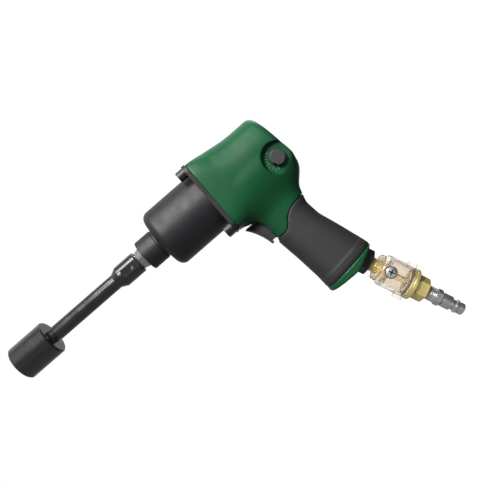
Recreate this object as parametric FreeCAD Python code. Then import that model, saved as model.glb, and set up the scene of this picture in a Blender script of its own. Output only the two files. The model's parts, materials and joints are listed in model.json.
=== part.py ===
"""Pistol-grip air impact wrench, 1/2 inch drive, with extension bar, impact
socket, in-line oiler and air plug.  Millimetres.

Frame: the spindle runs along X with the socket mouth at the origin, +X points
back towards the motor, +Z is up and the handle hangs down towards -Z.
Pieces on the air line are modelled along a local +Z and then set on the raked
inlet axis.
"""
import FreeCAD, Part
import math
import os

from FreeCAD import Vector, Rotation, Placement

# ---- driving dimensions -------------------------------------------------
DRIVE = 12.7            # half-inch square drive, across flats
SQUARE_GAP = 0.3        # play on each side of a square drive
FIT = 0.04              # radial running fit of shafts

SOCKET_LEN = 39.0
SOCKET_R = 17.2
SOCKET_HEX = 24.0       # across flats
SOCKET_HEX_DEPTH = 17.0

BAR_TIP = 21.5          # front end of the extension bar
BAR_NECK = 39.3
BAR_START = 43.5
BAR_CONE = 117.5
BAR_HEAD = 123.9
BAR_END = 145.5
BAR_R = 7.4
BAR_HEAD_R = 10.7

ANVIL_TIP = 129.3
NOSE_X = 153.0          # front of the hammer case
NOSE_R = 15.4
SHOULDER_X = 173.2
CASE_R = 29.9
CASE_BORE_R = 27.0
FLANGE_X = 231.9
FLANGE_BACK = 235.0
GASKET = 0.5
FLANGE_HALF_Y = 31.8
FLANGE_TOP = 36.7
FLANGE_BOTTOM = -39.0
SCREW_Y = 23.3
SCREW_ROWS = (30.6, -33.2)

CAGE_FRONT = 176.0
CAGE_BACK = 224.0
CAGE_R = 24.5
PIN_Z = 18.0            # hammer pins, above and below the spindle
PIN_R = 3.5
JOURNAL_R = 9.5
ANVIL_R = 8.0
ANVIL_JAW_R = 10.6
HAMMER_R = 23.5
HAMMER_HALF_Y = 17.0
HAMMER_BORE_R = 12.4
HAMMER_SPANS = [(180.1, 198.4), (199.6, 217.9)]

PLATE_X = 236.0         # front end plate
CYL_X = 243.0           # motor cylinder
CYL_BACK = 285.0
MOTOR_STEP = 286.4       # the bore narrows here to clear the dial's recess
MOTOR_BACK = 292.5
MOTOR_R = 27.0
HUB_R = 21.5
ROTOR_R = 19.4
ECCENTRIC = 2.0
CHAMBER_R = 21.8
VANES = 6
DOWEL_BACK = 286.0
DOWEL_Z = -23.5

DIAL_X = 302.4          # reversing valve and its dial
DIAL_Z = -13.2
DIAL_R = 14.4
DIAL_FLOOR = -24.6
DIAL_WALL = 2.0         # housing left under the dial's floor
SPOOL_R = 7.0
KNOB_R = 7.2
KNOB_FACE = -30.4

TRIGGER_Z = -56.0
TRIGGER_HALF_Y = 8.0
TRIGGER_WEB_Y = 5.5
TRIGGER_BACK = 256.6
TRIGGER_POCKET = 262.2    # back wall of the pocket that the trigger moves into
STEM_R = 2.4

VALVE_X = 283.0         # throttle valve chamber
VALVE_R = 9.0
VALVE_SEAT_Z = -73.0
VALVE_DISC_R = 7.0

BASE_Z = -138.5
INLET = Vector(304.6, 0, -137.7)
INLET_DIR = Vector(0.381, 0, -0.9246)
SLEEVE = 2.5            # thickness of the rubber grip
OILER_R = 15.2
OILER_WALL = 2.6
OILER_FRONT = 10.6      # along the inlet axis: clear body, then cap, nut and plug
OILER_BACK = 46.0
FILLER_T = 22.4
FILLER_SEAT = -16.2
NUT_BACK = 62.2
PLUG_BORE_R = 2.7

X_AXIS = Vector(1, 0, 0)
Y_AXIS = Vector(0, 1, 0)
Z_AXIS = Vector(0, 0, 1)


# ---- helpers --------------------------------------------------------------
def rod(x0, x1, r, y=0.0, z=0.0):
    return Part.makeCylinder(r, x1 - x0, Vector(x0, y, z), X_AXIS)


def tube(x0, x1, r, bore, y=0.0, z=0.0):
    return rod(x0, x1, r, y, z).cut(rod(x0 - 1, x1 + 1, bore, y, z))


def box(x0, x1, y0, y1, z0, z1):
    return Part.makeBox(x1 - x0, y1 - y0, z1 - z0, Vector(x0, y0, z0))


def square_bar(x0, x1, flats, corner=1.0):
    half = flats / 2
    bar = box(x0, x1, -half, half, -half, half)
    if corner:
        along = [e for e in bar.Edges if abs(e.tangentAt(0).x) > 0.99]
        bar = bar.makeFillet(corner, along)
    return bar


def prism(flats, length, sides=6, turn=0.0):
    """Upright prism on the origin, measured across its flats."""
    r = flats / 2 / math.cos(math.pi / sides)
    step = 2 * math.pi / sides
    pts = [Vector(r * math.cos(turn + i * step), r * math.sin(turn + i * step), 0)
           for i in range(sides + 1)]
    return Part.Face(Part.makePolygon(pts)).extrude(Vector(0, 0, length))


def chamfered_hex(flats, z0, z1, trim=0.9):
    """Hexagon nut body along Z with its corners turned off at both ends."""
    hexagon = prism(flats, z1 - z0)
    r = flats / 2 / math.cos(math.pi / 6)
    outline = [(0, 0), (r - trim, 0), (r, trim * 0.6),
               (r, z1 - z0 - trim * 0.6), (r - trim, z1 - z0), (0, z1 - z0)]
    return hexagon.common(lathe(outline)).translated(Vector(0, 0, z0))


def lathe(points):
    """Solid of revolution about Z from (radius, height) points."""
    pts = [Vector(r, 0, z) for r, z in points]
    face = Part.Face(Part.makePolygon(pts + [pts[0]]))
    return face.revolve(Vector(0, 0, 0), Z_AXIS, 360)


def lathe_x(points):
    """Solid of revolution about X from (x, radius) points."""
    pts = [Vector(x, 0, r) for x, r in points]
    face = Part.Face(Part.makePolygon(pts + [pts[0]]))
    return face.revolve(Vector(0, 0, 0), X_AXIS, 360)


def upright(r, z0, z1, x=0.0, y=0.0):
    return Part.makeCylinder(r, z1 - z0, Vector(x, y, z0), Z_AXIS)


def across(r, y0, y1, x, z):
    return Part.makeCylinder(r, y1 - y0, Vector(x, y0, z), Y_AXIS)


def between(r, a, b):
    return Part.makeCylinder(r, (b - a).Length, a, b - a)


def on_inlet(shape):
    """Set a piece modelled along +Z on the raked inlet axis."""
    placed = shape.copy()
    placed.Placement = Placement(INLET, Rotation(Z_AXIS, INLET_DIR)).multiply(placed.Placement)
    return placed


def helix(r, wire, pitch, height, start, direction):
    """Coil spring of round wire standing on start, along direction."""
    path = Part.makeHelix(pitch, height, r)
    profile = Part.Wire(Part.makeCircle(wire, Vector(r, 0, 0), Y_AXIS))
    coil = Part.Wire(path.Edges).makePipeShell([profile], True, True)
    coil.Placement = Placement(start, Rotation(Z_AXIS, direction))
    return coil


def oval(centre, u, v, half_u, half_v, power):
    """Closed curve |u/a|^n + |v/b|^n = 1 in the plane of u and v."""
    count = 32
    pts = []
    for i in range(count):
        a = 2 * math.pi * i / count
        c = math.cos(a)
        s = math.sin(a)
        du = math.copysign(abs(c) ** (2 / power), c) * half_u
        dv = math.copysign(abs(s) ** (2 / power), s) * half_v
        pts.append(centre + u * du + v * dv)
    curve = Part.BSplineCurve()
    curve.interpolate(pts, PeriodicFlag=True)
    return Part.Wire(curve.toShape())


def group(shapes):
    return Part.makeCompound(shapes)


def save(name, shape):
    shape.exportStep("parts/" + name + ".step")


# ---- socket and extension bar --------------------------------------------
def impact_socket():
    edge = 1.2
    body = lathe_x([(0, 0), (0, SOCKET_R - edge), (edge, SOCKET_R),
                    (SOCKET_LEN - edge, SOCKET_R), (SOCKET_LEN, SOCKET_R - edge), (SOCKET_LEN, 0)])
    mouth = prism(SOCKET_HEX, SOCKET_HEX_DEPTH, turn=math.pi / 6)
    mouth.Placement = Placement(Vector(0, 0, 0), Rotation(Z_AXIS, X_AXIS))
    lead = lathe_x([(-1, 0), (-1, 15.2), (1.6, 12.6), (1.6, 0)])
    relief = rod(SOCKET_HEX_DEPTH - 1, BAR_TIP - 0.6, 9.6)
    drive = square_bar(BAR_TIP - 0.7, SOCKET_LEN + 1, DRIVE + 2 * SQUARE_GAP, 0.6)
    pin_hole = upright(1.9, -SOCKET_R - 1, SOCKET_R + 1, 31.0)
    for cutter in (mouth, lead, relief, drive, pin_hole):
        body = body.cut(cutter)
    return body


def extension_bar():
    tip = square_bar(BAR_TIP, BAR_NECK + 1, DRIVE)
    groove = tube(26.5, 29.0, 12, 5.9)
    neck = rod(BAR_NECK, BAR_START + 0.1, 6.3)
    shank = lathe_x([(BAR_START, 0), (BAR_START, BAR_R - 0.8), (BAR_START + 0.8, BAR_R),
                     (BAR_CONE, BAR_R), (BAR_HEAD, BAR_HEAD_R), (BAR_END - 1, BAR_HEAD_R),
                     (BAR_END, BAR_HEAD_R - 1), (BAR_END, 0)])
    flats = box(BAR_HEAD + 3, BAR_END + 1, -12, -9.9, -12, 12)
    drive = square_bar(ANVIL_TIP - 1, BAR_END + 1, DRIVE + 2 * SQUARE_GAP, 0.6)
    pin_hole = across(2.2, -12, 12, 137.5, 0)
    bar = tip.cut(groove).fuse([neck, shank]).cut(flats).cut(drive).cut(pin_hole)
    return bar.removeSplitter()


def split_ring(x0, x1, r, bore):
    gap = box(x0 - 1, x1 + 1, -1.2, 1.2, 0, r + 1)
    return tube(x0, x1, r, bore).cut(gap)


# ---- hammer mechanism -------------------------------------------------------
def anvil():
    drive = square_bar(ANVIL_TIP, 146.5, DRIVE)
    groove = tube(133.5, 136.0, 12, 5.9)
    seal_groove = tube(158.0, 160.4, 12, 8.3)
    shaft = lathe_x([(145.9, 0), (145.9, 8.2), (146.6, 8.5), (152.7, 10.5), (152.7, JOURNAL_R),
                     (175.0, JOURNAL_R), (175.4, ANVIL_R), (218.2, ANVIL_R), (218.2, 0)])
    shaft = shaft.cut(seal_groove)
    parts = [drive.cut(groove), shaft]
    for i, (x0, x1) in enumerate(HAMMER_SPANS):
        side = 1 if i == 0 else -1
        jaw = rod(x0 + 0.3, x1 - 0.3, ANVIL_JAW_R).common(
            box(x0, x1, min(0, 12 * side), max(0, 12 * side), -4.5, 4.5))
        parts.append(jaw)
    return parts[0].fuse(parts[1:]).removeSplitter()


def hammer(span, pivot):
    """Rocking hammer: pivots on one pin, slotted for the other."""
    x0, x1 = span
    body = rod(x0, x1, HAMMER_R).common(
        box(x0, x1, -HAMMER_HALF_Y, HAMMER_HALF_Y, -HAMMER_R, HAMMER_R))
    jaw_side = -pivot
    bore = rod(x0 - 1, x1 + 1, HAMMER_BORE_R)
    lobe = box(x0 - 1, x1 + 1, min(9.8 * jaw_side, 14 * jaw_side),
               max(9.8 * jaw_side, 14 * jaw_side), -5, 5)
    pin_hole = rod(x0 - 1, x1 + 1, PIN_R + FIT, 0, PIN_Z * pivot)
    slot_half = 2.9
    slot = box(x0 - 1, x1 + 1, -slot_half, slot_half, -PIN_R - 0.45, PIN_R + 0.45)
    slot = slot.fuse([rod(x0 - 1, x1 + 1, PIN_R + 0.45, y) for y in (-slot_half, slot_half)])
    slot = slot.translated(Vector(0, 0, -PIN_Z * pivot))
    return body.cut(bore.cut(lobe)).cut(pin_hole).cut(slot)


def hammer_cage():
    front = rod(CAGE_FRONT, CAGE_FRONT + 3.6, CAGE_R)
    back = rod(CAGE_BACK - 5.4, CAGE_BACK, CAGE_R)
    hub = rod(CAGE_BACK, CAGE_BACK + 6, 11)
    ring = tube(CAGE_FRONT, CAGE_BACK, CAGE_R, 20.5)
    struts = [ring.common(box(CAGE_FRONT, CAGE_BACK, *sorted((15 * s, 26 * s)), -8, 8))
              for s in (-1, 1)]
    cage = front.fuse([back, hub] + struts)
    cage = cage.cut(rod(CAGE_FRONT - 1, 200, ANVIL_R + 0.6))
    cage = cage.cut(rod(210, CAGE_BACK + 7, 6))
    for side in (-1, 1):
        cage = cage.cut(rod(CAGE_FRONT - 1, CAGE_BACK + 1, PIN_R, 0, PIN_Z * side))
    return cage.removeSplitter()


def hammer_pins():
    return group([rod(CAGE_FRONT, CAGE_BACK, PIN_R, 0, PIN_Z * s) for s in (-1, 1)])


# ---- hammer case ------------------------------------------------------------
def rounded_plate(x0, x1, half_y, bottom, top, corner):
    plate = box(x0, x1, -half_y, half_y, bottom, top)
    along = [e for e in plate.Edges if abs(e.tangentAt(0).x) > 0.99]
    return plate.makeFillet(corner, along)


def screw_places():
    return [(side * SCREW_Y, z) for side in (-1, 1) for z in SCREW_ROWS]


def hammer_case():
    nose = lathe_x([(NOSE_X, 0), (NOSE_X, NOSE_R - 0.7), (NOSE_X + 0.7, NOSE_R),
                    (SHOULDER_X - 3.4, NOSE_R), (SHOULDER_X - 2.8, NOSE_R - 0.6),
                    (SHOULDER_X - 1.6, NOSE_R - 0.6), (SHOULDER_X + 1, NOSE_R + 1.2),
                    (SHOULDER_X + 1, 0)])
    barrel = rod(SHOULDER_X, FLANGE_BACK, CASE_R)
    front_edge = [e for e in barrel.Edges if e.BoundBox.XMax < SHOULDER_X + 0.1]
    barrel = barrel.makeFillet(7.5, front_edge)
    flange = rounded_plate(FLANGE_X, FLANGE_BACK, FLANGE_HALF_Y, FLANGE_BOTTOM, FLANGE_TOP, 8.5)
    case = barrel.fuse([nose, flange])
    case = case.cut(rod(NOSE_X - 1, 180, 12))
    case = case.cut(lathe_x([(175.4, 0), (175.4, 25), (177.4, CASE_BORE_R),
                             (FLANGE_BACK + 1, CASE_BORE_R), (FLANGE_BACK + 1, 0)]))
    for y, z in screw_places():
        case = case.cut(rod(FLANGE_X - 1, FLANGE_BACK + 1, 3.2, y, z))
    return case.removeSplitter()


def gasket():
    plate = rounded_plate(FLANGE_BACK, FLANGE_BACK + GASKET, FLANGE_HALF_Y - 0.5,
                          FLANGE_BOTTOM + 0.5, FLANGE_TOP - 0.5, 8)
    plate = plate.cut(rod(230, 240, CASE_BORE_R))
    for y, z in screw_places():
        plate = plate.cut(rod(230, 240, 3.2, y, z))
    return plate


def case_screw(y, z):
    top = FLANGE_X - 7.9
    head = rod(top, FLANGE_X - 1, 5.0, y, z)
    rim = [e for e in head.Edges if e.BoundBox.XMax < top + 0.1]
    head = head.makeFillet(0.6, rim)
    shank = rod(FLANGE_X - 1, 241, 3.0, y, z)
    key = prism(5.0, 3.2)
    key.Placement = Placement(Vector(top - 0.1, y, z), Rotation(Z_AXIS, X_AXIS))
    return head.fuse(shank).cut(key)


def lock_washer(y, z):
    split = box(230, 233, y - 0.5, y + 0.5, z + 2, z + 6)
    return tube(FLANGE_X - 1, FLANGE_X, 4.9, 3.1, y, z).cut(split)


# ---- motor ---------------------------------------------------------------
def bearing(x0, x1, r, bore):
    """Ball bearing as two races and a ring of balls."""
    mid = (r + bore) / 2
    ball_r = (r - bore) * 0.24
    race = 0.3 * (r - bore)
    centre = (x0 + x1) / 2
    track = Part.makeTorus(mid, ball_r + 0.05, Vector(centre, 0, 0), X_AXIS)
    outer = tube(x0, x1, r, r - race).cut(track)
    inner = tube(x0, x1, bore + race, bore).cut(track)
    balls = []
    for i in range(9):
        a = 2 * math.pi * i / 9
        balls.append(Part.makeSphere(ball_r, Vector(centre, mid * math.cos(a), mid * math.sin(a))))
    return group([outer, inner] + balls)


def front_end_plate():
    plate = rod(PLATE_X, CYL_X, MOTOR_R).cut(rod(PLATE_X - 1, CYL_X + 1, 7.2))
    return plate.cut(rod(PLATE_X + 0.6, CYL_X + 1, 11)).cut(rod(239, 250, 1.5, 0, DOWEL_Z))


def rear_end_plate():
    plate = rod(CYL_BACK, MOTOR_STEP, MOTOR_R).fuse(rod(CYL_BACK, MOTOR_BACK, HUB_R)).removeSplitter()
    plate = plate.cut(rod(CYL_BACK - 1, MOTOR_BACK + 1, 6.2))
    return plate.cut(rod(CYL_BACK + 0.6, MOTOR_BACK + 1, 11)).cut(rod(280, DOWEL_BACK, 1.5, 0, DOWEL_Z))


def motor_cylinder():
    body = rod(CYL_X, CYL_BACK, MOTOR_R)
    body = body.cut(rod(CYL_X - 1, CYL_BACK + 1, CHAMBER_R, 0, ECCENTRIC))
    body = body.cut(rod(CYL_X - 1, CYL_BACK + 1, 1.5, 0, DOWEL_Z))
    for i in range(4):
        x = CYL_X + 9 + 8 * i
        body = body.cut(upright(2.0, -30, -15, x, 7))
        body = body.cut(upright(2.0, -30, -15, x, -7))
    return body


def vane_slot(i, width, deep, top, x0, x1):
    slot = box(x0, x1, -width / 2, width / 2, top - deep, top)
    slot.rotate(Vector(0, 0, 0), X_AXIS, 360 / VANES * (i + 0.5))
    return slot


def rotor():
    body = rod(CYL_X + 0.4, CYL_BACK - 0.4, ROTOR_R)
    front = lathe_x([(219.2, 0), (219.2, 6), (CYL_X + 1, 6), (CYL_X + 1, 0)])
    back = rod(CYL_BACK - 1, MOTOR_BACK - 0.3, 5)
    body = body.fuse([front, back])
    for i in range(VANES):
        body = body.cut(vane_slot(i, 2.6, 10, ROTOR_R + 1, CYL_X, CYL_BACK))
    return body.removeSplitter()


def rotor_vanes():
    return group([vane_slot(i, 2.4, 8.6, ROTOR_R, CYL_X + 0.5, CYL_BACK - 0.5)
                  for i in range(VANES)])


# ---- housing and grip --------------------------------------------------------
# x, top, bottom, half width, squareness of the section
BARREL_SECTIONS = [
    (FLANGE_BACK + GASKET, 37.2, -39.4, 31.4, 5.5),
    (243.0, 36.8, -40.2, 31.5, 4.8),
    (255.0, 35.8, -39.8, 31.7, 3.2),
    (266.0, 34.6, -37.2, 31.8, 2.7),
    (277.0, 33.4, -34.8, 31.7, 2.5),
    (288.0, 33.2, -33.6, 31.4, 2.4),
    (302.0, 33.4, -32.8, 30.7, 2.35),
    (326.0, 33.0, -32.4, 28.6, 2.35),
]

# z, front, back, half width, squareness of the section
HANDLE_SECTIONS = [
    (-12.0, 251.0, 311.5, 22.5, 2.6),
    (-30.0, 251.8, 310.5, 21.5, 2.6),
    (-45.0, 253.2, 303.5, 19.8, 2.6),
    (-60.0, 254.5, 299.0, 18.6, 2.6),
    (-75.0, 256.0, 300.8, 18.5, 2.6),
    (-95.0, 259.0, 307.8, 19.0, 2.6),
    (-120.0, 261.8, 316.0, 20.0, 2.6),
    (-140.0, 262.5, 321.5, 20.5, 2.6),
]
REAR_X = 313.8          # rear face on the spindle axis; its top leans forward

REAR_LEAN = 8.4
FOOT = Vector(316.1, 0, -19.1)    # where the rear face turns in towards the handle
FOOT_LEAN = 15.0


def barrel_shape():
    wires = []
    for x, top, bottom, half_y, power in BARREL_SECTIONS:
        centre = Vector(x, 0, (top + bottom) / 2)
        wires.append(oval(centre, Y_AXIS, Z_AXIS, half_y, (top - bottom) / 2, power))
    barrel = Part.makeLoft(wires, True, False)
    for lean, place in ((-REAR_LEAN, Vector(REAR_X, 0, 0)), (FOOT_LEAN, FOOT)):
        back = box(0, 60, -60, 60, -90, 90)
        back.rotate(Vector(0, 0, 0), Y_AXIS, lean)
        back.translate(place)
        barrel = barrel.cut(back)
    rim = [e for e in barrel.Edges if e.BoundBox.XMin > 305]
    return barrel.makeFillet(5.5, rim)


def handle_shape(inset=0.0):
    wires = []
    for z, front, back, half_y, power in HANDLE_SECTIONS:
        centre = Vector((front + back) / 2, 0, z)
        wires.append(oval(centre, X_AXIS, Y_AXIS, (back - front) / 2 - inset, half_y - inset, power))
    return Part.makeLoft(wires, True, False)


def below(x, z, slope, reach=150):
    """Block below the line through (x, z) that climbs by slope per mm of x."""
    block = Part.makeBox(2 * reach, 2 * reach, reach, Vector(-reach, -reach, -reach))
    block.rotate(Vector(0, 0, 0), Y_AXIS, -math.degrees(math.atan(slope)))
    block.translate(Vector(x, 0, z))
    return block


def grip_sleeve(outer):
    region = outer.common(below(263, -68, 0.73)).cut(below(274, -132, 0.125))
    sleeve = region.cut(handle_shape(SLEEVE))
    pocket = box(240, TRIGGER_POCKET + 0.3, -9, 9, -71, -40)
    return sleeve.cut(pocket)


def inlet_face_cut():
    """Slanted spot face for the inlet bushing, square to the inlet axis."""
    cutter = Part.makeBox(80, 80, 60, Vector(-40, -40, -4.25))
    return on_inlet(cutter)


def housing_cutters():
    cutters = [rod(200, MOTOR_STEP, MOTOR_R), rod(280, MOTOR_BACK, HUB_R)]
    for y, z in screw_places():
        cutters.append(rod(230, 241.5, 3.05, y, z))
    cutters.append(box(240, TRIGGER_POCKET, -8.5, 8.5, -70.2, -42.0))
    cutters.append(rod(255, 271, 5.0, 0, TRIGGER_Z))
    cutters.append(rod(265, VALVE_X, 3.0, 0, TRIGGER_Z))
    cutters.append(upright(VALVE_R, -94, -50, VALVE_X))
    cutters.append(valve_port())
    cutters.append(between(6.5, Vector(VALVE_X + 1, 0, -88), INLET))
    cutters.append(across(8.6, DIAL_FLOOR + DIAL_WALL, 23, DIAL_X, DIAL_Z))
    cutters.append(across(3.8, -60, 0, DIAL_X, DIAL_Z))
    cutters.append(upright(1.8, DIAL_Z, 8, DIAL_X, 12))
    cutters.append(across(DIAL_R, -60, DIAL_FLOOR, DIAL_X, DIAL_Z))
    for side in (-1, 1):
        cutters.append(upright(2.3, -76, -24, 266, 9.2 * side))
    cutters.append(between(5.0, Vector(266, 0, -75), Vector(276, 0, -134)))
    cutters.append(upright(8.5, -150, -130.5, 276))
    cutters.append(on_inlet(Part.makeCylinder(8.0, 18, Vector(0, 0, -16.2))))
    return cutters


def housing(outer, sleeve):
    body = barrel_shape().fuse(outer)
    body = body.cut(below(0, BASE_Z, 0.0, 700))
    body = body.cut(inlet_face_cut())
    body = body.cut(sleeve)
    for cutter in housing_cutters():
        body = body.cut(cutter)
    return max(body.Solids, key=lambda s: s.Volume)


# ---- trigger and throttle ------------------------------------------------------
def side_plate(outline, half_y):
    """Flat piece cut to an (x, z) outline, standing half_y to either side."""
    pts = [Vector(x, -half_y, z) for x, z in outline]
    return Part.Face(Part.makePolygon(pts + [pts[0]])).extrude(Vector(0, 2 * half_y, 0))


def trigger():
    """Thin crescent finger plate with an arm along its top and a web behind it."""
    top = Vector(238.6, 0, -43.4)
    middle = Vector(246.0, 0, -55.5)
    bottom = Vector(250.2, 0, -69.0)
    back = Vector(2.3, 0, 0.5)
    edges = [Part.Arc(top, middle, bottom).toShape(), Part.makeLine(bottom, bottom + back),
             Part.Arc(bottom + back, middle + back, top + back * 1.4).toShape(),
             Part.makeLine(top + back * 1.4, top)]
    plate = Part.Face(Part.Wire(edges)).extrude(Vector(0, 2 * TRIGGER_HALF_Y, 0))
    plate.translate(Vector(0, -TRIGGER_HALF_Y, 0))
    long_edges = [e for e in plate.Edges if e.BoundBox.YLength < 0.1 and e.BoundBox.ZLength > 15]
    plate = plate.makeFillet(0.7, long_edges)
    arm = box(241.4, 252.8, -TRIGGER_HALF_Y, TRIGGER_HALF_Y, -44.6, -42.9)
    web = side_plate([(244.6, -47.4), (TRIGGER_BACK, -47.4), (TRIGGER_BACK, -66.5), (250.8, -66.5),
                      (247.6, -56.0)], TRIGGER_WEB_Y)
    rib = side_plate([(241.6, -44.0), (TRIGGER_BACK, -44.0), (TRIGGER_BACK, -48.0), (245.5, -48.0)], 2.0)
    blade = plate.fuse([arm, web, rib]).removeSplitter()
    return blade.cut(rod(249, 260, STEM_R, 0, TRIGGER_Z))


def trigger_stem():
    return rod(249, VALVE_X - 2.8, STEM_R, 0, TRIGGER_Z)


def trigger_bushing():
    return tube(TRIGGER_POCKET, 271, 5.0, STEM_R + FIT, 0, TRIGGER_Z)


def throttle_valve():
    disc = upright(VALVE_DISC_R, VALVE_SEAT_Z - 3.4, VALVE_SEAT_Z - 0.3, VALVE_X)
    stem = upright(2.0, VALVE_SEAT_Z - 3, TRIGGER_Z + 2.2, VALVE_X)
    guide = upright(2.2, VALVE_SEAT_Z - 8, VALVE_SEAT_Z - 3, VALVE_X)
    rocker = across(1.0, -2.5, 2.5, VALVE_X - VALVE_DISC_R, VALVE_SEAT_Z - 1.6)
    return disc.fuse([stem, guide, rocker]).removeSplitter()


def valve_seat():
    ring = upright(VALVE_R, VALVE_SEAT_Z, VALVE_SEAT_Z + 3, VALVE_X)
    return ring.cut(upright(5.6, -80, -60, VALVE_X))


def throttle_spring():
    return helix(3.4, 0.45, 2.2, 9.5, Vector(VALVE_X, 0, VALVE_SEAT_Z - 4.0), Vector(0, 0, -1))


# ---- reversing valve -------------------------------------------------------------
def valve_port():
    return between(3.6, Vector(VALVE_X, 0, -54), Vector(DIAL_X - 2, 0, DIAL_Z - 6))


def valve_bushing():
    sleeve = across(8.6, DIAL_FLOOR + DIAL_WALL, 22.5, DIAL_X, DIAL_Z)
    sleeve = sleeve.cut(across(SPOOL_R, DIAL_FLOOR, 21, DIAL_X, DIAL_Z))
    sleeve = sleeve.cut(upright(1.8, DIAL_Z, 8, DIAL_X, 12))
    return max(sleeve.cut(valve_port()).Solids, key=lambda s: s.Volume)


def reverse_valve():
    front = DIAL_FLOOR + DIAL_WALL + 0.3
    spool = across(SPOOL_R - FIT, front, 20.4, DIAL_X, DIAL_Z)
    waist = across(SPOOL_R + 1, -10, 4, DIAL_X, DIAL_Z).cut(across(4.2, -11, 5, DIAL_X, DIAL_Z))
    track = across(SPOOL_R + 1, 10.2, 13.8, DIAL_X, DIAL_Z).cut(
        across(SPOOL_R - 1.6, 9, 15, DIAL_X, DIAL_Z))
    web = box(DIAL_X - 6, DIAL_X + 6, -10, 4, DIAL_Z - 1.5, DIAL_Z + 1.5)
    neck = across(3.4, KNOB_FACE + 1.5, front, DIAL_X, DIAL_Z)
    return spool.cut(waist).cut(track).fuse([web, neck]).removeSplitter().cut(knob_pin())


def valve_knob():
    knob = across(KNOB_R, KNOB_FACE, DIAL_FLOOR - 0.35, DIAL_X, DIAL_Z)
    rim = [e for e in knob.Edges if e.BoundBox.YMax < KNOB_FACE + 0.1]
    knob = knob.makeFillet(0.8, rim)
    notch = prism(2.2, 8, 3)
    notch.Placement = Placement(Vector(DIAL_X - KNOB_R * 0.86, KNOB_FACE - 1, DIAL_Z - KNOB_R * 0.5),
                                Rotation(Y_AXIS, 30).multiply(Rotation(X_AXIS, -90)))
    knob = knob.cut(notch)
    return knob.cut(across(3.4, KNOB_FACE + 1.5, DIAL_FLOOR + 1, DIAL_X, DIAL_Z)).cut(knob_pin())


def knob_pin():
    y = (KNOB_FACE + 1.5 + DIAL_FLOOR) / 2
    return upright(0.8, DIAL_Z - KNOB_R + 0.6, DIAL_Z + KNOB_R - 0.6, DIAL_X, y)


def detent_ball():
    return Part.makeSphere(1.5, Vector(DIAL_X, 12, DIAL_Z + SPOOL_R + 0.15))


def detent_spring():
    return helix(1.15, 0.3, 1.2, 8.5, Vector(DIAL_X, 12, DIAL_Z + SPOOL_R + 2.1), Z_AXIS)


# ---- exhaust ---------------------------------------------------------------------
def exhaust_silencer():
    return upright(8.4, -134.6, -130.6, 276).cut(upright(2.5, -135, -130, 276))


def exhaust_deflector():
    disc = upright(8.4, BASE_Z, BASE_Z + 3.6, 276)
    for i in range(-2, 3):
        disc = disc.cut(box(269.5 if i % 2 else 268.8, 283, 2.6 * i - 0.7, 2.6 * i + 0.7, -140, -134))
    return disc


# ---- air line, along local +Z ------------------------------------------------------
def inlet_bushing():
    body = chamfered_hex(21.0, -4.25, 4.25)
    thread = lathe([(0, -16), (7.2, -16), (8.0, -15.2), (8.0, -4), (0, -4)])
    body = body.fuse(thread).cut(Part.makeCylinder(5, 30, Vector(0, 0, -20)))
    return body.cut(Part.makeCylinder(6.6, 20, Vector(0, 0, -6)))


def inlet_screen():
    disc = Part.makeCylinder(5.0, 1.0, Vector(0, 0, -9))
    for i in range(-2, 3):
        for j in range(-2, 3):
            if i * i + j * j < 6:
                disc = disc.cut(Part.makeCylinder(0.55, 3, Vector(1.7 * i, 1.7 * j, -10)))
    return disc


def oiler_outlet():
    body = lathe([(3.2, -5.8), (6.6, -5.8), (6.6, 14.6), (8.6, 14.6), (8.6, 20.5),
                  (5.2, 20.5), (5.2, 18.5), (3.2, 18.5)])
    return body


def oiler_body():
    inner = OILER_R - OILER_WALL
    shell = lathe([(0, OILER_FRONT), (11.8, OILER_FRONT), (12.6, OILER_FRONT + 0.8), (12.9, 15.2),
                   (OILER_R - 0.3, 17.4), (OILER_R, 18.2), (OILER_R, OILER_BACK), (0, OILER_BACK)])
    for x in (10.2, -18.4):
        shell = shell.fuse(Part.makeBox(8.2, 8.0, 8.2, Vector(x, -4.0, 36.8)))
    boss = Part.makeCylinder(6.6, -9 - FILLER_SEAT, Vector(0, FILLER_SEAT, FILLER_T), Y_AXIS)
    shell = shell.fuse(boss)
    shell = shell.cut(lathe([(0, 17.5), (9.2, 17.5), (9.2, 18.6), (inner, 22.2), (inner, 47.0), (0, 47.0)]))
    shell = shell.cut(lathe([(0, 10), (6.6, 10), (6.6, 14.5), (8.6, 14.5), (8.6, 18), (0, 18)]))
    shell = shell.cut(Part.makeCylinder(2.5, 10, Vector(0, -18, FILLER_T), Y_AXIS))
    return shell.removeSplitter()


def oiler_tube():
    pipe = lathe([(1.9, 18.6), (3.0, 18.6), (3.0, 46.2), (1.9, 46.2)])
    return pipe.cut(Part.makeCylinder(0.6, 8, Vector(-4, 0, 32), X_AXIS))


def filler_screw():
    """Pan-head cross-recess screw, its head outwards along -Y."""
    screw = lathe([(0, -7.4), (2.45, -7.4), (2.45, 0), (5.2, 0), (4.9, 1.1), (4.0, 1.9),
                   (2.4, 2.4), (0, 2.55)])
    for length, width in ((6.0, 1.3), (1.3, 6.0)):
        slot = Part.makeBox(length, width, 4.0, Vector(-length / 2, -width / 2, 0.2))
        screw = screw.cut(slot)
    screw.Placement = Placement(Vector(0, FILLER_SEAT - 1.0, FILLER_T), Rotation(Z_AXIS, Vector(0, -1, 0)))
    return screw


def filler_washer():
    ring = lathe([(2.5, 0), (5.7, 0), (5.7, 1.0), (2.5, 1.0)])
    ring.Placement = Placement(Vector(0, FILLER_SEAT, FILLER_T), Rotation(Z_AXIS, Vector(0, -1, 0)))
    return ring


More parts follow.
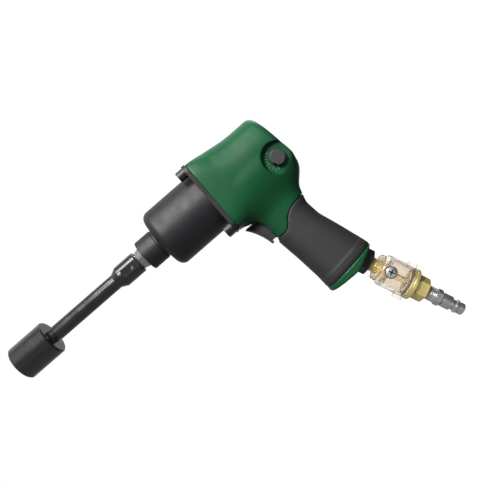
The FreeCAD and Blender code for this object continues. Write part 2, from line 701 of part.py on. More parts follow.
def oiler_end_cap():
    inner = OILER_R - OILER_WALL
    rim = OILER_BACK + 4.0
    body = lathe([(0, 42.2), (inner - 2.2, 42.2), (inner - 2.2, 44.2), (inner, 44.2), (inner, OILER_BACK),
                  (OILER_R - 0.6, OILER_BACK), (OILER_R, OILER_BACK + 0.6), (OILER_R, rim - 0.6),
                  (OILER_R - 0.6, rim), (10.0, rim), (10.0, rim + 1.7), (0, rim + 1.7)])
    body = body.fuse(chamfered_hex(20.6, rim + 1.6, NUT_BACK))
    body = body.cut(lathe([(0, 41), (6.8, 41), (6.8, 44.8), (3.1, 44.8), (3.1, 46.4), (0, 46.4)]))
    body = body.cut(Part.makeCylinder(2.4, 20, Vector(0, 0, 45)))
    return body.cut(Part.makeCylinder(6.7, 10, Vector(0, 0, 54.8))).removeSplitter()


def oiler_seal():
    inner = OILER_R - OILER_WALL
    return lathe([(inner - 2.2, 42.4), (inner, 42.4), (inner, 44.1), (inner - 2.2, 44.1)])


def air_plug():
    turned = lathe([(0, 55.1), (6.7, 55.1), (6.7, 73.0), (0, 73.0)])
    nipple = lathe([(0, 77.0), (5.6, 77.0), (5.6, 78.8), (6.75, 79.4), (6.75, 88.2), (6.2, 88.7),
                    (5.0, 89.2), (5.0, 92.3), (6.5, 92.9), (6.5, 94.6), (5.2, 95.2), (5.2, 95.6),
                    (5.7, 96.0), (5.7, 100.6), (5.0, 101.4), (0, 101.4)])
    plug = turned.fuse([chamfered_hex(14.0, 72.9, 77.8, 0.7), nipple])
    return plug.cut(Part.makeCylinder(PLUG_BORE_R, 60, Vector(0, 0, 50))).removeSplitter()


def main():
    os.makedirs("parts", exist_ok=True)

    save("impact_socket", impact_socket())
    save("extension_bar", extension_bar())
    save("extension_friction_ring", split_ring(26.7, 28.8, 6.6, 5.95))
    save("anvil", anvil())
    save("socket_retaining_ring", split_ring(133.7, 135.8, 6.6, 5.95))
    save("anvil_seal", Part.makeTorus(8.85, 0.55, Vector(159.2, 0, 0), X_AXIS))
    save("anvil_bushing", tube(NOSE_X + 0.6, 173.6, 12, JOURNAL_R + FIT))
    save("hammer_case", hammer_case())
    save("case_gasket", gasket())
    save("case_screws", group([case_screw(y, z) for y, z in screw_places()]))
    save("lock_washers", group([lock_washer(y, z) for y, z in screw_places()]))

    save("hammer_front", hammer(HAMMER_SPANS[0], 1))
    save("hammer_rear", hammer(HAMMER_SPANS[1], -1))
    save("hammer_cage", hammer_cage())
    save("hammer_pins", hammer_pins())

    save("front_end_plate", front_end_plate())
    save("front_bearing", bearing(PLATE_X + 0.6, CYL_X, 11, 6 + FIT))
    save("motor_cylinder", motor_cylinder())
    save("cylinder_dowel", rod(239, DOWEL_BACK, 1.5, 0, DOWEL_Z))
    save("rotor", rotor())
    save("rotor_vanes", rotor_vanes())
    save("rear_end_plate", rear_end_plate())
    save("rear_bearing", bearing(CYL_BACK + 0.6, MOTOR_BACK, 11, 5 + FIT))

    outer = handle_shape()
    sleeve = grip_sleeve(outer)
    save("motor_housing", housing(outer, sleeve))
    save("grip_sleeve", sleeve)

    save("trigger", trigger())
    save("trigger_stem", trigger_stem())
    save("trigger_bushing", trigger_bushing())
    save("throttle_valve", throttle_valve())
    save("throttle_seat", valve_seat())
    save("throttle_spring", throttle_spring())

    save("valve_bushing", valve_bushing())
    save("reverse_valve", reverse_valve())
    save("valve_knob", valve_knob())
    save("knob_pin", knob_pin())
    save("detent_ball", detent_ball())
    save("detent_spring", detent_spring())

    save("exhaust_silencer", exhaust_silencer())
    save("exhaust_deflector", exhaust_deflector())

    save("inlet_bushing", on_inlet(inlet_bushing()))
    save("inlet_screen", on_inlet(inlet_screen()))
    save("oiler_outlet", on_inlet(oiler_outlet()))
    save("oiler_body", on_inlet(oiler_body()))
    save("oiler_tube", on_inlet(oiler_tube()))
    save("oiler_end_cap", on_inlet(oiler_end_cap()))
    save("oiler_seal", on_inlet(oiler_seal()))
    save("filler_screw", on_inlet(filler_screw()))
    save("filler_washer", on_inlet(filler_washer()))
    save("air_plug", on_inlet(air_plug()))


main()
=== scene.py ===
"""Looks of the pistol-grip air impact wrench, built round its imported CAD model.

Everything is in metres in the CAD frame: the spindle runs along X with the
socket mouth at the origin, +Z is up and the dial faces -Y.  The shapes made here
are worked out in millimetres and scaled when they are made.
"""
import json
import math
import bpy
import bmesh
import numpy as np
from mathutils import Matrix, Vector


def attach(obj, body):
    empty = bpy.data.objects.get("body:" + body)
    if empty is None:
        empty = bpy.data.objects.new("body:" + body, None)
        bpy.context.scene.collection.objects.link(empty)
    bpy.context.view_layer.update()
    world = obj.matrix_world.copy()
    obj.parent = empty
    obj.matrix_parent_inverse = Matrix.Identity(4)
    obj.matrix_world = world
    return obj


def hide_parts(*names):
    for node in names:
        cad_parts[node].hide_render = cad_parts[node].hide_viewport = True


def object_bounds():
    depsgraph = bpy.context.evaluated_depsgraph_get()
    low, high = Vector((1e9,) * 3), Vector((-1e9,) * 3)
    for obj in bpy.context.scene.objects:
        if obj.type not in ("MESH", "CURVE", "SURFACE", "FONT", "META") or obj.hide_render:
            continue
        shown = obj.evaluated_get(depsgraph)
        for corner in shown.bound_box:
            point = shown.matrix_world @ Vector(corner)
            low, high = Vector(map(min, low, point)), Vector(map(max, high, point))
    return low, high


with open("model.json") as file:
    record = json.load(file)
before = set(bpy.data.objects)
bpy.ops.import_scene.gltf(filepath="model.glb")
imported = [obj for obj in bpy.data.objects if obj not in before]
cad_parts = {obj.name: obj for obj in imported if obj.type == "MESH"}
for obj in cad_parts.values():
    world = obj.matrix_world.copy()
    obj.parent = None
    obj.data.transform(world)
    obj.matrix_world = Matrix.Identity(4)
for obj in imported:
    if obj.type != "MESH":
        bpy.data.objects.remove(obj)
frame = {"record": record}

CAD_LOW, CAD_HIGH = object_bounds()
MM = 0.001

# ---- places shared with the CAD model, in millimetres ----------------------
HOUSING_FRONT = 235.5
SCREW_Y = 23.3
SCREW_ROWS = (30.6, -33.2)
MOTOR_STEP, MOTOR_R = 286.6, 27.2       # the bore narrows here to clear the dial's recess
MOTOR_BACK, HUB_R = 292.7, 21.7
DIAL_X, DIAL_Z, DIAL_R = 302.4, -13.2, 14.4
DIAL_FLOOR = -24.6
TRIGGER_Z = -56.0
VALVE_X = 283.0          # throttle valve chamber
INLET = np.array([304.6, 0.0, -137.7])
INLET_DIR = np.array([0.381, 0.0, -0.9246])
INLET_DIR /= np.linalg.norm(INLET_DIR)
SPOT_FACE = -4.25        # along the inlet axis
FILLER_T = 22.4          # filler screw, along the inlet axis
RECESS_FLOOR = -18.3     # bottom of the cross recess in its head
BASE_Z = -138.5
SLEEVE = 2.5             # thickness of the rubber grip
VOXEL = 0.8
RELAX_ROUNDS = 2

# fillets and edge roundings
JOIN_R = 15.0            # between barrel and handle
REAR_RIM_R = 5.5
HANDLE_TOP_R = 6.0
BASE_EDGE_R = 1.2
FRONT_EDGE_R = 0.8
DIAL_EDGE_R = 0.9
SLEEVE_EDGE_R = 0.9

# x, top, bottom, half width, squareness of the section
BARREL_SECTIONS = [
    (HOUSING_FRONT, 37.2, -39.4, 31.4, 5.5),
    (243.0, 36.8, -40.2, 31.4, 4.8),
    (255.0, 35.8, -39.8, 31.2, 3.2),
    (266.0, 34.6, -37.2, 31.2, 2.7),
    (277.0, 33.4, -34.8, 31.1, 2.5),
    (288.0, 33.2, -33.6, 31.1, 2.4),
    (302.0, 33.4, -32.8, 30.7, 2.35),
    (326.0, 33.0, -32.4, 28.6, 2.35),
]

# z, front, back, half width, squareness of the section
HANDLE_SECTIONS = [
    (-12.0, 251.0, 311.5, 22.5, 2.6),
    (-30.0, 251.8, 310.5, 21.5, 2.6),
    (-45.0, 253.2, 303.5, 19.8, 2.6),
    (-60.0, 254.5, 299.0, 18.6, 2.6),
    (-75.0, 256.0, 300.8, 18.5, 2.6),
    (-95.0, 259.0, 307.8, 19.0, 2.6),
    (-120.0, 261.8, 316.0, 20.0, 2.6),
    (-140.0, 262.5, 321.5, 20.5, 2.6),
]
REAR_X = 313.8          # rear face on the spindle axis; its top leans forward
REAR_LEAN = 8.4
FOOT_X, FOOT_Z, FOOT_LEAN = 316.1, -19.1, 15.0    # where the rear face turns in

# x, height of the sleeve's swept top edge
SLEEVE_TOP = [
    (265.0, -68.2),
    (268.0, -67.4),
    (271.0, -64.6),
    (274.0, -60.6),
    (278.0, -57.0),
    (284.0, -54.2),
    (292.0, -52.6),
    (300.0, -52.0),
]
FOOT_SLOPE = 0.125       # climb of the sleeve's lower end and of its raised band
SLEEVE_END = (274, -132)
BAND_TOP = (290, -120.5)
BAND_BOTTOM = (290, -127.5)
BAND_HEIGHT = 0.55

# start, end, radius
HOUSING_BORES = [
    ((200, 0, 0), (MOTOR_STEP, 0, 0), MOTOR_R),
    ((280, 0, 0), (MOTOR_BACK, 0, 0), HUB_R),
    ((DIAL_X, DIAL_FLOOR + 2, DIAL_Z), (DIAL_X, 23, DIAL_Z), 8.8),    # reversing spool
    ((DIAL_X, -60, DIAL_Z), (DIAL_X, 0, DIAL_Z), 4.0),                # stem of its knob
    ((DIAL_X, 12, DIAL_Z), (DIAL_X, 12, 8), 2.0),                     # detent of the spool
    ((VALVE_X, 0, -94), (VALVE_X, 0, -50), 9.2),
    ((VALVE_X, 0, -54), (300.4, 0, -19.2), 3.8),                      # port to the spool
    ((VALVE_X + 1, 0, -88), tuple(INLET), 6.8),                       # air way up the handle
    ((255, 0, TRIGGER_Z), (VALVE_X, 0, TRIGGER_Z), 5.2),
    ((276, 0, -150), (276, 0, -130.5), 8.6),                          # exhaust
    (tuple(INLET - 16.4 * INLET_DIR), tuple(INLET), 8.2),
]
for side in (-1, 1):
    for row in SCREW_ROWS:
        HOUSING_BORES.append(((230, side * SCREW_Y, row), (241.5, side * SCREW_Y, row), 3.1))

# low and high corners: trigger pockets, and the spaces that are carved
HOUSING_POCKET = ((240, -8.5, -70.2), (262.2, 8.5, -42.0))
SLEEVE_POCKET = ((240, -9, -71), (262.5, 9, -40))
HOUSING_SPACE = ((233, -34, -142), (324, 34, 41))
SLEEVE_SPACE = ((250, -23, -136), (324, 23, -40))

# name, start and end along the inlet axis, radius of the shank, slot
THREADS = [
    ("oiler_thread", 4.6, 10.4, 6.6, "brass"),
    ("plug_thread", 62.8, 72.8, 6.7, "plug_steel"),
]
THREAD_PITCH = 1.337
THREAD_HEIGHT = 0.35
THREAD_FACETS = 72

# dial marks: angles in degrees round the dial, and reach from its centre
TICK_ANGLES = (118, 148, 178, 208, 238)
TICK_REACH = 9.9
NUMBER_ANGLES = (133, 163, 193, 223)
NUMBER_REACH = 10.6


# ---- distance fields ---------------------------------------------------------
def smooth_column(at, sections, column, window=9.0):
    """A column of a section table, as a smooth curve read at the given places."""
    rows = sorted(sections)
    keys = [r[0] for r in rows]
    fine = np.arange(keys[0] - 60, keys[-1] + 60, 0.5)
    values = np.interp(fine, keys, [r[column] for r in rows])
    kernel = np.hanning(int(window / 0.5) | 1)
    values = np.convolve(np.pad(values, len(kernel) // 2, mode="edge"), kernel / kernel.sum(), "valid")
    return np.interp(at, fine, values)


def oval_distance(u, v, half_u, half_v, power):
    reach = (np.abs(u / half_u) ** power + np.abs(v / half_v) ** power) ** (1 / power)
    radius = np.hypot(u, v)
    return radius * (1 - 1 / np.maximum(reach, 1e-3))


def round_join(a, b, r):
    corner = np.hypot(np.maximum(r - a, 0), np.maximum(r - b, 0))
    return np.maximum(np.minimum(a, b), r) - corner


def round_common(a, b, r):
    corner = np.hypot(np.maximum(r + a, 0), np.maximum(r + b, 0))
    return np.minimum(np.maximum(a, b), -r) + corner


def barrel_field(x, y, z):
    top = smooth_column(x, BARREL_SECTIONS, 1)
    bottom = smooth_column(x, BARREL_SECTIONS, 2)
    half_y = smooth_column(x, BARREL_SECTIONS, 3)
    power = smooth_column(x, BARREL_SECTIONS, 4)
    side = oval_distance(y, z - (top + bottom) / 2, half_y, (top - bottom) / 2, power)
    lean = math.radians(REAR_LEAN)
    back = (x - REAR_X) * math.cos(lean) + z * math.sin(lean)
    turn = math.radians(FOOT_LEAN)
    foot = (x - FOOT_X) * math.cos(turn) - (z - FOOT_Z) * math.sin(turn)
    return round_common(side, np.maximum(back, foot), REAR_RIM_R)


def handle_field(x, y, z):
    front = smooth_column(z, HANDLE_SECTIONS, 1)
    back = smooth_column(z, HANDLE_SECTIONS, 2)
    half_y = smooth_column(z, HANDLE_SECTIONS, 3)
    power = HANDLE_SECTIONS[0][4]
    across = oval_distance(x - (front + back) / 2, y, (back - front) / 2, half_y, power)
    return round_common(0.96 * across, z + 8, HANDLE_TOP_R)


def below_line(x, z, at_x, at_z, slope):
    """Negative below the line through (at_x, at_z) that climbs by slope."""
    return ((z - at_z) - slope * (x - at_x)) / math.hypot(1, slope)


def rod_field(x, y, z, start, end, r):
    start = np.array(start, float)
    way = np.array(end, float) - start
    length = np.linalg.norm(way)
    way /= length
    px, py, pz = x - start[0], y - start[1], z - start[2]
    along = px * way[0] + py * way[1] + pz * way[2]
    off = np.sqrt(np.maximum(px * px + py * py + pz * pz - along * along, 0))
    return np.maximum(off - r, np.maximum(-along, along - length))


def box_field(x, y, z, corners):
    low, high = corners
    parts = [np.maximum(low[i] - c, c - high[i]) for i, c in enumerate((x, y, z))]
    return np.maximum(np.maximum(parts[0], parts[1]), parts[2])


def sleeve_limits(x, z):
    """Negative between the sleeve's swept top edge and its lower end."""
    places, heights = zip(*SLEEVE_TOP)
    top = np.interp(x, places, heights)
    steep = np.interp(x + 1, places, heights) - np.interp(x - 1, places, heights)
    upper = (z - top) / np.hypot(1, steep / 2)
    return np.maximum(upper, -below_line(x, z, *SLEEVE_END, FOOT_SLOPE))


def whole_field(x, y, z):
    return round_join(barrel_field(x, y, z), handle_field(x, y, z), JOIN_R)


def housing_field(x, y, z):
    body = whole_field(x, y, z)
    along = (x - INLET[0]) * INLET_DIR[0] + (z - INLET[2]) * INLET_DIR[2]
    body = round_common(body, BASE_Z - z, BASE_EDGE_R)
    body = round_common(body, along - SPOT_FACE, BASE_EDGE_R)
    body = round_common(body, HOUSING_FRONT - x, FRONT_EDGE_R)
    skin = np.maximum(sleeve_limits(x, z), -(handle_field(x, y, z) + SLEEVE))
    body = np.maximum(body, -skin)
    dial = rod_field(x, y, z, (DIAL_X, -60, DIAL_Z), (DIAL_X, DIAL_FLOOR, DIAL_Z), DIAL_R)
    body = round_common(body, -dial, DIAL_EDGE_R)
    body = np.maximum(body, -box_field(x, y, z, HOUSING_POCKET))
    for start, end, r in HOUSING_BORES:
        body = np.maximum(body, -rod_field(x, y, z, start, end, r))
    return body


def sleeve_field(x, y, z):
    outer = handle_field(x, y, z)
    inner = outer + SLEEVE - 0.05
    band = np.maximum(below_line(x, z, *BAND_TOP, FOOT_SLOPE), -below_line(x, z, *BAND_BOTTOM, FOOT_SLOPE))
    edge = 0.5 + 0.5 * np.clip(-band / 0.6, -1, 1)
    side = np.clip((np.abs(y) - 8) / 2, 0, 1)
    shell = round_common(outer - BAND_HEIGHT * edge * side, sleeve_limits(x, z) + 0.15, SLEEVE_EDGE_R)
    shell = np.maximum(shell, -inner)
    return np.maximum(shell, -box_field(x, y, z, SLEEVE_POCKET))


def new_piece(name, data):
    """New object in the scene, round a mesh, a light or a camera."""
    piece = bpy.data.objects.new(name, data)
    bpy.context.scene.collection.objects.link(piece)
    return piece


def carve(name, field, space):
    """Mesh of the zero surface of a distance field, by surface nets."""
    low, high = space
    axes = [np.arange(a, b + VOXEL, VOXEL) for a, b in zip(low, high)]
    x, y, z = np.meshgrid(*axes, indexing="ij", sparse=False)
    value = field(x, y, z).astype(np.float32)
    inside = value < 0
    cells = tuple(n - 1 for n in value.shape)
    total = np.zeros(cells + (3,), np.float32)
    count = np.zeros(cells, np.float32)
    corners = [(i, j, k) for i in (0, 1) for j in (0, 1) for k in (0, 1)]

    def at(grid, c):
        return grid[c[0]:c[0] + cells[0], c[1]:c[1] + cells[1], c[2]:c[2] + cells[2]]

    for a in corners:
        for axis in range(3):
            if a[axis]:
                continue
            b = tuple(1 if i == axis else v for i, v in enumerate(a))
            va, vb = at(value, a), at(value, b)
            cross = at(inside, a) != at(inside, b)
            t = np.where(cross, va / np.where(cross, va - vb, 1), 0)
            for i in range(3):
                total[..., i] += cross * (a[i] + (t if i == axis else 0))
            count += cross
    used = count > 0
    index = -np.ones(cells, np.int64)
    index[used] = np.arange(used.sum())
    where = np.argwhere(used)
    points = (where + total[used] / count[used][:, None]) * VOXEL + np.array(low)

    quads = []
    for axis in range(3):
        others = [i for i in range(3) if i != axis]
        first = [slice(None)] * 3
        second = [slice(None)] * 3
        first[axis], second[axis] = slice(0, -1), slice(1, None)
        change = inside[tuple(first)] != inside[tuple(second)]
        spots = np.argwhere(change)
        limit = np.array(cells)
        ok = np.all([(spots[:, i] > 0) & (spots[:, i] < limit[i]) for i in others], axis=0)
        spots = spots[ok]
        leaving = inside[tuple(first)][tuple(spots.T)]
        ring = []
        for du, dv in ((1, 1), (0, 1), (0, 0), (1, 0)):
            cell = spots.copy()
            cell[:, others[0]] -= du
            cell[:, others[1]] -= dv
            ring.append(index[tuple(cell.T)])
        ring = np.stack(ring, 1)
        flip = leaving if axis != 1 else ~leaving
        ring[~flip] = ring[~flip][:, ::-1]
        quads.append(ring)
    quads = np.concatenate(quads)
    mesh = bpy.data.meshes.new(name)
    mesh.from_pydata((points * MM).tolist(), [], quads.tolist())
    mesh.update()
    relax(mesh)
    mesh.shade_smooth()
    return new_piece(name, mesh)


def relax(mesh):
    work = bmesh.new()
    work.from_mesh(mesh)
    for _ in range(RELAX_ROUNDS):
        bmesh.ops.smooth_vert(work, verts=work.verts, factor=0.5, use_axis_x=True, use_axis_y=True,
                              use_axis_z=True)
    work.to_mesh(mesh)
    work.free()


# ---- materials -----------------------------------------------------------------
def srgb(*channels):
    def linear(c):
        c = c / 255
        return c / 12.92 if c <= 0.04045 else ((c + 0.055) / 1.055) ** 2.4
    return tuple(linear(c) for c in channels) + (1.0,)


class Shader:
    """A small node-tree builder round one Principled shader."""

    def __init__(self, name, **constants):
        self.material = bpy.data.materials.new(name)
        self.material.use_nodes = True
        self.tree = self.material.node_tree
        self.main = self.tree.nodes["Principled BSDF"]
        for socket, value in constants.items():
            self.main.inputs[socket.replace("_", " ")].default_value = value
        self.place = self.add("ShaderNodeTexCoord").outputs["Object"]

    def add(self, kind, **settings):
        node = self.tree.nodes.new(kind)
        for key, value in settings.items():
            setattr(node, key, value)
        return node

    def link(self, a, b):
        self.tree.links.new(a, b)

    def noise(self, scale, detail=3.0, rough=0.5, stretch=None):
        node = self.add("ShaderNodeTexNoise")
        node.inputs["Scale"].default_value = scale
        node.inputs["Detail"].default_value = detail
        node.inputs["Roughness"].default_value = rough
        place = self.place
        if stretch:
            mapping = self.add("ShaderNodeMapping")
            mapping.inputs["Scale"].default_value = stretch
            self.link(place, mapping.inputs["Vector"])
            place = mapping.outputs["Vector"]
        self.link(place, node.inputs["Vector"])
        return node.outputs["Fac"]

    def ramp(self, fac, low, high, from_min=0.3, from_max=0.7):
        node = self.add("ShaderNodeMapRange")
        node.inputs["From Min"].default_value = from_min
        node.inputs["From Max"].default_value = from_max
        node.inputs["To Min"].default_value = low
        node.inputs["To Max"].default_value = high
        self.link(fac, node.inputs["Value"])
        return node.outputs["Result"]

    def mix(self, fac, a, b):
        node = self.add("ShaderNodeMix", data_type="RGBA")
        self.link(fac, node.inputs["Factor"])
        for socket, value in ((node.inputs["A"], a), (node.inputs["B"], b)):
            if isinstance(value, tuple):
                socket.default_value = value
            else:
                self.link(value, socket)
        return node.outputs["Result"]

    def colour(self, source):
        self.link(source, self.main.inputs["Base Color"])

    def roughness(self, source):
        self.link(source, self.main.inputs["Roughness"])

    def bump(self, *layers):
        """Stack bump layers given as (height, distance in metres, strength)."""
        normal = None
        for height, distance, strength in layers:
            node = self.add("ShaderNodeBump")
            node.inputs["Distance"].default_value = distance
            node.inputs["Strength"].default_value = strength
            self.link(height, node.inputs["Height"])
            if normal:
                self.link(normal, node.inputs["Normal"])
            normal = node.outputs["Normal"]
        self.link(normal, self.main.inputs["Normal"])


def painted(name, low, high, rough, grain, coat=0.0, shine=0.32):
    s = Shader(name, Specular_IOR_Level=shine, Coat_Weight=coat, Coat_Roughness=0.3)
    s.colour(s.mix(s.noise(28, 4), low, high))
    s.roughness(s.ramp(s.noise(110, 5), rough - 0.04, rough + 0.06))
    s.bump((s.noise(grain, 2), 0.00005, 0.10), (s.noise(grain * 4, 2), 0.00002, 0.08))
    return s.material


def metal(name, tone, rough, grain=(1, 1, 1), dark=0.75, scale=900, metallic=1.0):
    s = Shader(name, Metallic=metallic)
    darker = tuple(c * dark for c in tone[:3]) + (1.0,)
    s.colour(s.mix(s.ramp(s.noise(140, 5, 0.6), 0.0, 1.0), darker, tone))
    s.roughness(s.ramp(s.noise(scale, 3, 0.6, grain), rough - 0.07, rough + 0.09))
    s.bump((s.noise(scale, 3, 0.6, grain), 0.00005, 0.25))
    return s.material


def plastic(name, tone, rough, grain=1400, depth=0.25):
    s = Shader(name)
    lighter = tuple(min(1, c * 1.35 + 0.002) for c in tone[:3]) + (1.0,)
    s.colour(s.mix(s.noise(60, 4), tone, lighter))
    s.roughness(s.ramp(s.noise(400, 3), rough - 0.05, rough + 0.08))
    s.bump((s.noise(grain, 2), 0.00008, depth))
    return s.material


def clear(name):
    s = Shader(name, Base_Color=srgb(244, 236, 224), IOR=1.5, Transmission_Weight=0.9)
    s.roughness(s.ramp(s.noise(90, 3), 0.05, 0.14))
    s.bump((s.noise(120, 2), 0.0001, 0.10))
    return s.material


MATERIALS = {
    "housing_green": painted("green_paint", srgb(11, 68, 38), srgb(17, 78, 46), 0.42, 900, 0.06, 0.22),
    "dial_mark": painted("dial_mark", srgb(78, 128, 102), srgb(88, 138, 112), 0.45, 900),
    "case_black": painted("case_black", srgb(22, 22, 25), srgb(30, 30, 33), 0.5, 1500),
    "grip_rubber": plastic("grip_rubber", srgb(30, 29, 30), 0.62, 1800, 0.4),
    "black_steel": painted("black_steel", srgb(9, 8, 9), srgb(26, 24, 25), 0.24, 1200, 0.0, 0.7),
    "bright_steel": metal("bright_steel", srgb(170, 168, 170), 0.28),
    "plug_steel": metal("plug_steel", srgb(205, 202, 206), 0.26, metallic=0.85),
    "spring_steel": metal("spring_steel", srgb(150, 150, 155), 0.3),
    "screw_black": painted("screw_black", srgb(24, 24, 26), srgb(38, 38, 41), 0.36, 1500),
    "cast_grey": metal("cast_grey", srgb(120, 120, 124), 0.45),
    "bronze": metal("bronze", srgb(176, 138, 84), 0.4),
    "brass": metal("brass", srgb(252, 230, 150), 0.2, metallic=0.6),
    "chrome": metal("chrome", srgb(232, 230, 232), 0.14, metallic=0.8),
    "clear_plastic": clear("clear_plastic"),
    "black_plastic": plastic("black_plastic", srgb(34, 32, 36), 0.5),
    "vane_phenolic": plastic("vane_phenolic", srgb(110, 70, 40), 0.6),
    "gasket": plastic("gasket_paper", srgb(46, 44, 40), 0.8),
    "seal_rubber": plastic("seal_rubber", srgb(18, 18, 18), 0.5),
}


def dress(piece, slot):
    piece.data.materials.clear()
    piece.data.materials.append(MATERIALS[slot])


def dress_cad_nodes():
    slots = {p["node"]: p["material_slot"] for p in frame["record"]["subparts"]}
    for node, slot in slots.items():
        piece = bpy.data.objects[node]
        for i in range(len(piece.material_slots)):
            piece.material_slots[i].material = MATERIALS[slot]


def add_piece(piece, body, slot, *nodes):
    dress(piece, slot)
    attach(piece, body)
    if nodes:
        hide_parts(*nodes)
    return piece


# ---- carved housing and grip ----------------------------------------------------
def make_housing():
    shell = carve("housing_shell", housing_field, HOUSING_SPACE)
    add_piece(shell, "root", "housing_green", "motor_housing")


def make_grip():
    grip = carve("rubber_grip", sleeve_field, SLEEVE_SPACE)
    add_piece(grip, "root", "grip_rubber", "grip_sleeve")


# ---- threads and dial marks --------------------------------------------------------
def cube_mesh(name, size):
    """Box centred on the origin, its size given in millimetres."""
    work = bmesh.new()
    bmesh.ops.create_cube(work, size=1.0, matrix=Matrix.Diagonal(Vector(size) * MM).to_4x4())
    mesh = bpy.data.meshes.new(name)
    work.to_mesh(mesh)
    work.free()
    return mesh


def on_inlet(piece):
    """Move a piece modelled along +Z from the origin onto the raked inlet axis."""
    along = Vector(INLET_DIR)
    side = Vector((0, 1, 0)).cross(along)
    turn = Matrix((side, Vector((0, 1, 0)), along)).transposed().to_4x4()
    piece.data.transform(Matrix.Translation(Vector(INLET * MM)) @ turn)


def make_thread(name, start, end, r, slot):
    """Screw thread standing on a plain shank of radius r, as a closed sleeve."""
    rows = np.arange(start, end + 0.01, THREAD_PITCH / 9)
    angle = np.arange(THREAD_FACETS) * 2 * math.pi / THREAD_FACETS
    turn = rows[:, None] / THREAD_PITCH - angle[None, :] / (2 * math.pi)
    tooth = np.abs((turn % 1.0) - 0.5) * 2
    tooth = np.clip(tooth * 1.25 - 0.1, 0, 1)
    fade = np.clip(np.minimum(rows - start, end - rows) / 0.7, 0, 1)[:, None]
    outer = r - 0.15 + (THREAD_HEIGHT + 0.15) * tooth * fade
    verts = []
    for row, t in enumerate(rows):
        for i, a in enumerate(angle):
            verts.append((outer[row, i] * math.cos(a), outer[row, i] * math.sin(a), t))
    for t in (end, start):
        verts += [((r - 0.6) * math.cos(a), (r - 0.6) * math.sin(a), t) for a in angle]
    loops = len(rows) + 2
    faces = []
    for row in range(loops):
        here = row * THREAD_FACETS
        after = (row + 1) % loops * THREAD_FACETS
        for i in range(THREAD_FACETS):
            k = (i + 1) % THREAD_FACETS
            faces.append((here + i, here + k, after + k, after + i))
    mesh = bpy.data.meshes.new(name)
    mesh.from_pydata([(x * MM, y * MM, t * MM) for x, y, t in verts], [], faces)
    mesh.shade_smooth()
    piece = new_piece(name, mesh)
    on_inlet(piece)
    add_piece(piece, "root", slot)


def make_painted_recess_shade():
    """Painted shade: a dark cross of thin boxes at the bottom of the cross recess in the oiler's filler
    screw, standing in for the shade that falls there.
    """
    facing = Matrix.Rotation(math.pi / 2, 4, "X")
    place = Matrix.Translation(Vector((0, RECESS_FLOOR, FILLER_T)) * MM)
    # painted shade: two crossed dark boxes laid where the recess of the screw head is in shade
    for i, size in enumerate(((5.6, 1.2, 0.3), (1.2, 5.6, 0.3))):
        mesh = cube_mesh("painted_recess_shade", size)
        mesh.transform(place @ facing)
        piece = new_piece(f"painted_recess_shade_{i + 1}", mesh)
        on_inlet(piece)
        add_piece(piece, "root", "screw_black")


def make_threads():
    for thread in THREADS:
        make_thread(*thread)


def raised(name, mesh, spin, reach):
    """Stand a flat mark on the dial's floor, at an angle and a reach from its centre."""
    a = math.radians(spin)
    facing = Matrix(((1, 0, 0), (0, 0, -1), (0, 1, 0))).to_4x4()
    upright = Matrix.Rotation(a - math.pi / 2, 4, "Z")
    place = Vector((DIAL_X + reach * math.cos(a), DIAL_FLOOR, DIAL_Z + reach * math.sin(a))) * MM
    mesh.transform(Matrix.Translation(place) @ facing @ upright)
    piece = add_piece(new_piece(name, mesh), "root", "housing_green")
    piece.data.materials[0] = MATERIALS["dial_mark"]


def make_dial_marks():
    """Power numbers and ticks cast on the floor round the dial."""
    for i, spin in enumerate(TICK_ANGLES):
        size = (0.5, 2.2, 1.2) if i % 2 else (0.7, 2.6, 1.2)
        raised(f"dial_tick_{i + 1}", cube_mesh("dial_tick", size), spin, TICK_REACH)
    for i, spin in enumerate(NUMBER_ANGLES):
        curve = bpy.data.curves.new("number", "FONT")
        curve.body = str(i + 1)
        curve.size = 3.4 * MM
        curve.extrude = 0.6 * MM
        curve.align_x = "CENTER"
        curve.align_y = "CENTER"
        holder = bpy.data.objects.new("number", curve)
        mesh = bpy.data.meshes.new_from_object(holder)
        bpy.data.objects.remove(holder)
        raised(f"dial_number_{i + 1}", mesh, spin, NUMBER_REACH)


# ---- stage ------------------------------------------------------------------------
def make_stage():
    mesh = bpy.data.meshes.new("floor")
    reach = 4.0
    level = CAD_LOW.z - 0.0005
    outline = ((-reach, -reach), (reach, -reach), (reach, reach), (-reach, reach))
    mesh.from_pydata([(x, y, level) for x, y in outline], [], [(0, 1, 2, 3)])
    floor = new_piece("floor", mesh)
    s = Shader("pale_floor", Roughness=0.9, Base_Color=srgb(150, 150, 150))
    s.main.inputs["Emission Color"].default_value = (1, 1, 1, 1)
    s.main.inputs["Emission Strength"].default_value = 0.86
    mesh.materials.append(s.material)
    floor.visible_diffuse = False
    floor.visible_glossy = False


LIGHT_AIM = (0.23, 0.0, -0.05)
CAMERA_PLACE = (0.2298, -0.56, -0.0531)
CAMERA_ROLL = math.radians(41.0)

# light that reflections find, as (direction from -1 to 1, strength): along Z, along Y,
# and a factor along X that dims both
UPPER_BANDS = [
    (-1, 0.4), (-0.45, 0.3), (-0.28, 0.55), (-0.1, 0.2), (0.2, 0.4),
    (0.5, 0.8), (0.7, 1.0), (0.88, 0.9), (0.96, 0.2), (1, 0.15),
]
BEHIND_BANDS = [(-1, 0), (0.3, 0.1), (0.6, 0.2), (0.85, 0.5), (1, 0.85)]
FLAG_BANDS = [(-1, 1), (0.35, 1), (0.65, 0.25), (1, 0.12)]


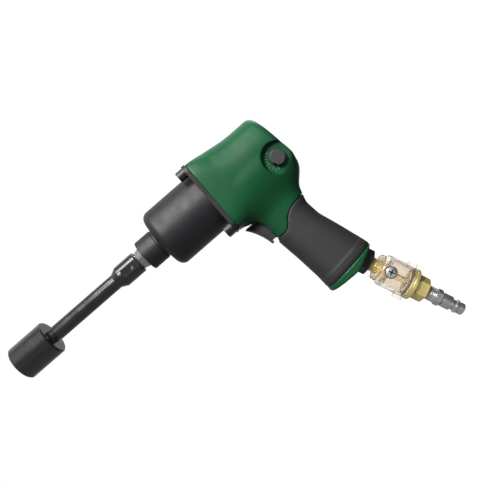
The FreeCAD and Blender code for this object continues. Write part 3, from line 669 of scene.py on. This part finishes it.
def make_world():
    """White to the camera.  Diffuse light falls from above, reflections find bands of
    light over and behind the tool, and clear parts let in more light along Y."""
    world = bpy.data.worlds.new("studio")
    bpy.context.scene.world = world
    world.use_nodes = True
    tree = world.node_tree
    sky = tree.nodes["Background"]
    sky.inputs["Color"].default_value = (1, 1, 1, 1)
    place = tree.nodes.new("ShaderNodeTexCoord")
    split = tree.nodes.new("ShaderNodeSeparateXYZ")
    tree.links.new(place.outputs["Generated"], split.inputs["Vector"])
    path = tree.nodes.new("ShaderNodeLightPath")

    def spread(source, start, end, low, high):
        node = tree.nodes.new("ShaderNodeMapRange")
        for socket, value in zip(("From Min", "From Max", "To Min", "To Max"), (start, end, low, high)):
            node.inputs[socket].default_value = value
        tree.links.new(source, node.inputs["Value"])
        return node.outputs["Result"]

    def combine(operation, *sources):
        node = tree.nodes.new("ShaderNodeMath")
        node.operation = operation
        for socket, source in zip(node.inputs, sources):
            tree.links.new(source, socket)
        return node.outputs[0]

    def bands(source, stops):
        """Strength along a -1 to 1 direction, from (place, strength) stops."""
        node = tree.nodes.new("ShaderNodeValToRGB")
        ramp = node.color_ramp
        ramp.elements.remove(ramp.elements[1])
        for i, (at, value) in enumerate(stops):
            stop = ramp.elements[0] if i == 0 else ramp.elements.new((at + 1) / 2)
            stop.position = (at + 1) / 2
            stop.color = (value, value, value, 1)
        tree.links.new(spread(source, -1, 1, 0, 1), node.inputs["Fac"])
        return node.outputs["Color"]

    def choose(ray, base, special):
        node = tree.nodes.new("ShaderNodeMix")
        tree.links.new(path.outputs[ray], node.inputs["Factor"])
        tree.links.new(base, node.inputs["A"])
        if isinstance(special, float):
            node.inputs["B"].default_value = special
        else:
            tree.links.new(special, node.inputs["B"])
        return node.outputs["Result"]

    level = spread(split.outputs["Z"], -0.3, 0.9, 0.06, 0.40)
    upper = bands(split.outputs["Z"], UPPER_BANDS)
    flag = bands(split.outputs["X"], FLAG_BANDS)
    behind = bands(split.outputs["Y"], BEHIND_BANDS)
    mirrored = combine("MULTIPLY", combine("MAXIMUM", upper, behind), flag)
    level = choose("Is Glossy Ray", level, mirrored)
    through = spread(combine("ABSOLUTE", split.outputs["Y"]), 0.45, 0.97, 0.12, 0.95)
    level = choose("Is Transmission Ray", level, through)
    level = choose("Is Camera Ray", level, 1.0)
    tree.links.new(level, sky.inputs["Strength"])


def soft_light(name, place, width, power):
    """Round area light that aims at the middle of the tool; width in metres, power in watts."""
    data = bpy.data.lights.new(name, "AREA")
    data.shape = "DISK"
    data.size = width
    data.energy = power
    light = new_piece(name, data)
    light.location = place
    light.rotation_mode = "QUATERNION"
    light.rotation_quaternion = (Vector(LIGHT_AIM) - Vector(place)).to_track_quat("-Z", "Y")


def make_lights():
    soft_light("key", (0.10, -0.84, 0.58), 0.25, 13)
    soft_light("top", (0.14, -0.45, 0.93), 0.5, 10)
    soft_light("rim", (0.75, 0.55, 0.6), 0.6, 1.5)


def make_camera():
    """Looks along +Y at the dial side, rolled so the spindle climbs to the right."""
    right = Vector((math.cos(CAMERA_ROLL), 0, -math.sin(CAMERA_ROLL)))
    up = Vector((math.sin(CAMERA_ROLL), 0, math.cos(CAMERA_ROLL)))
    back = Vector((0, -1, 0))
    data = bpy.data.cameras.new("camera")
    data.lens = 44.2
    data.sensor_width = 36.0
    camera = new_piece("camera", data)
    turn = Matrix((right, up, back)).transposed()
    camera.matrix_world = Matrix.Translation(CAMERA_PLACE) @ turn.to_4x4()
    bpy.context.scene.camera = camera


bpy.context.scene.view_settings.view_transform = "Standard"
make_camera()
make_stage()
make_world()
make_lights()
dress_cad_nodes()
make_housing()
make_grip()
make_threads()
make_painted_recess_shade()
make_dial_marks()
